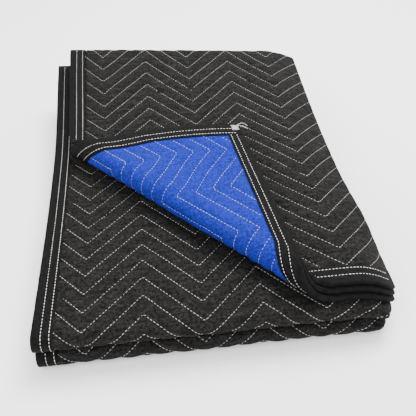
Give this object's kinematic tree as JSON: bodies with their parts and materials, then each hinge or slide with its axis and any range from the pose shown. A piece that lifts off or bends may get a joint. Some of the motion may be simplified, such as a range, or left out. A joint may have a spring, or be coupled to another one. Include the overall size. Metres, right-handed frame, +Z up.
{
  "type": "moving blanket",
  "caption": "Quilted padding blanket folded into a flat stack, with the front corner of its bound top plies turned back to show the reverse.",
  "frame": {"origin": "on the floor, under the middle of the folded stack", "axes": "+Z up, -Y the front with the round folds and the open hems, +X the right, where the folds close"},
  "size_m": [0.4626, 0.591, 0.1345],
  "materials": {
    "quilted_cloth": "matte charcoal non-woven face with a royal blue reverse, quilted in pale zigzag rows",
    "binding_tape": "matte black folded tape with two rows of pale stitching"
  },
  "bodies": {
    "root": {"blanket_cloth": "quilted_cloth", "binding_ply_a_side": "binding_tape", "binding_ply_a_front": "binding_tape", "binding_ply_b_side": "binding_tape", "binding_ply_b_front": "binding_tape", "binding_ply_c_side": "binding_tape", "binding_ply_c_front": "binding_tape", "binding_upper_outer": "binding_tape", "binding_upper_inner": "binding_tape", "binding_lower_outer": "binding_tape", "binding_lower_inner": "binding_tape"}
  },
  "joints": []
}
